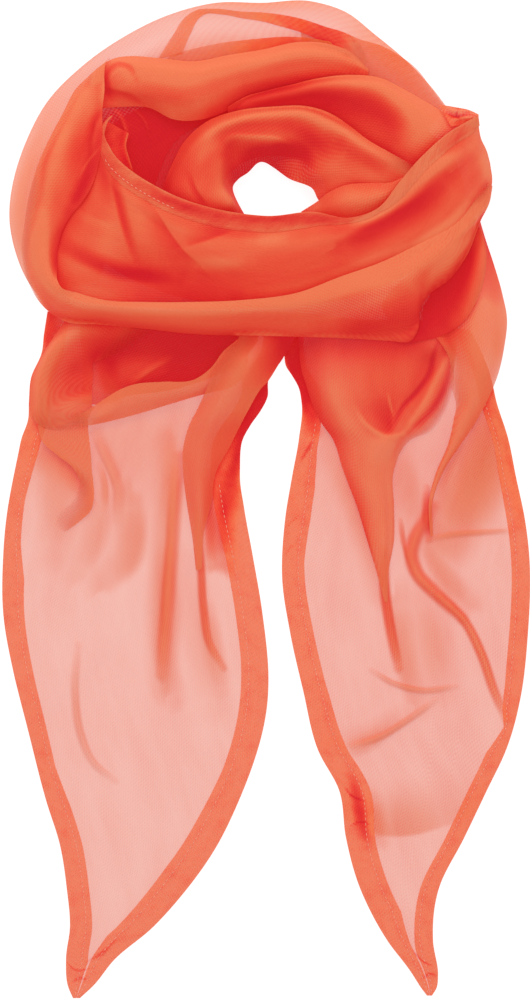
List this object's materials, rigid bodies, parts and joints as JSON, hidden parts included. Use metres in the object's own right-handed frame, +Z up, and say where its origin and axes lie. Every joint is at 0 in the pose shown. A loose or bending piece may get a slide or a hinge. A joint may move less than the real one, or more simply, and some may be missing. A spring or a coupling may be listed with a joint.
{
  "type": "chiffon scarf",
  "caption": "Sheer scarf with hemmed pointed ends, wound into a loose double loop and laid flat with both tails hanging side by side.",
  "frame": {"origin": "middle of the scarf's bounding box, on the surface it lies on", "axes": "+Z up out of the surface, +Y from the pointed tails towards the loop, +X to the right seen from above"},
  "size_m": [0.349, 0.6577, 0.0441],
  "materials": {
    "chiffon": "sheer coral chiffon, plain weave, soft low sheen",
    "hem": "turned and machine-stitched hem of the same chiffon, three layers deep"
  },
  "bodies": {
    "root": {"left_tail": "chiffon", "left_tail_hem_left": "hem", "left_tail_hem_right": "hem", "right_tail": "chiffon", "right_tail_hem_left": "hem", "right_tail_hem_right": "hem", "left_pocket": "chiffon", "left_lobe": "chiffon", "left_lip": "chiffon", "left_fold": "chiffon", "right_scoop": "chiffon", "right_side": "chiffon", "hidden_turns": "chiffon", "outer_turn": "chiffon", "back_hem": "hem", "upper_roll": "chiffon", "right_roll": "chiffon", "inner_ring": "chiffon", "inner_petal": "chiffon", "swag_pocket": "chiffon", "front": "chiffon", "front_hem": "hem", "hem_corner": "hem"}
  },
  "joints": []
}
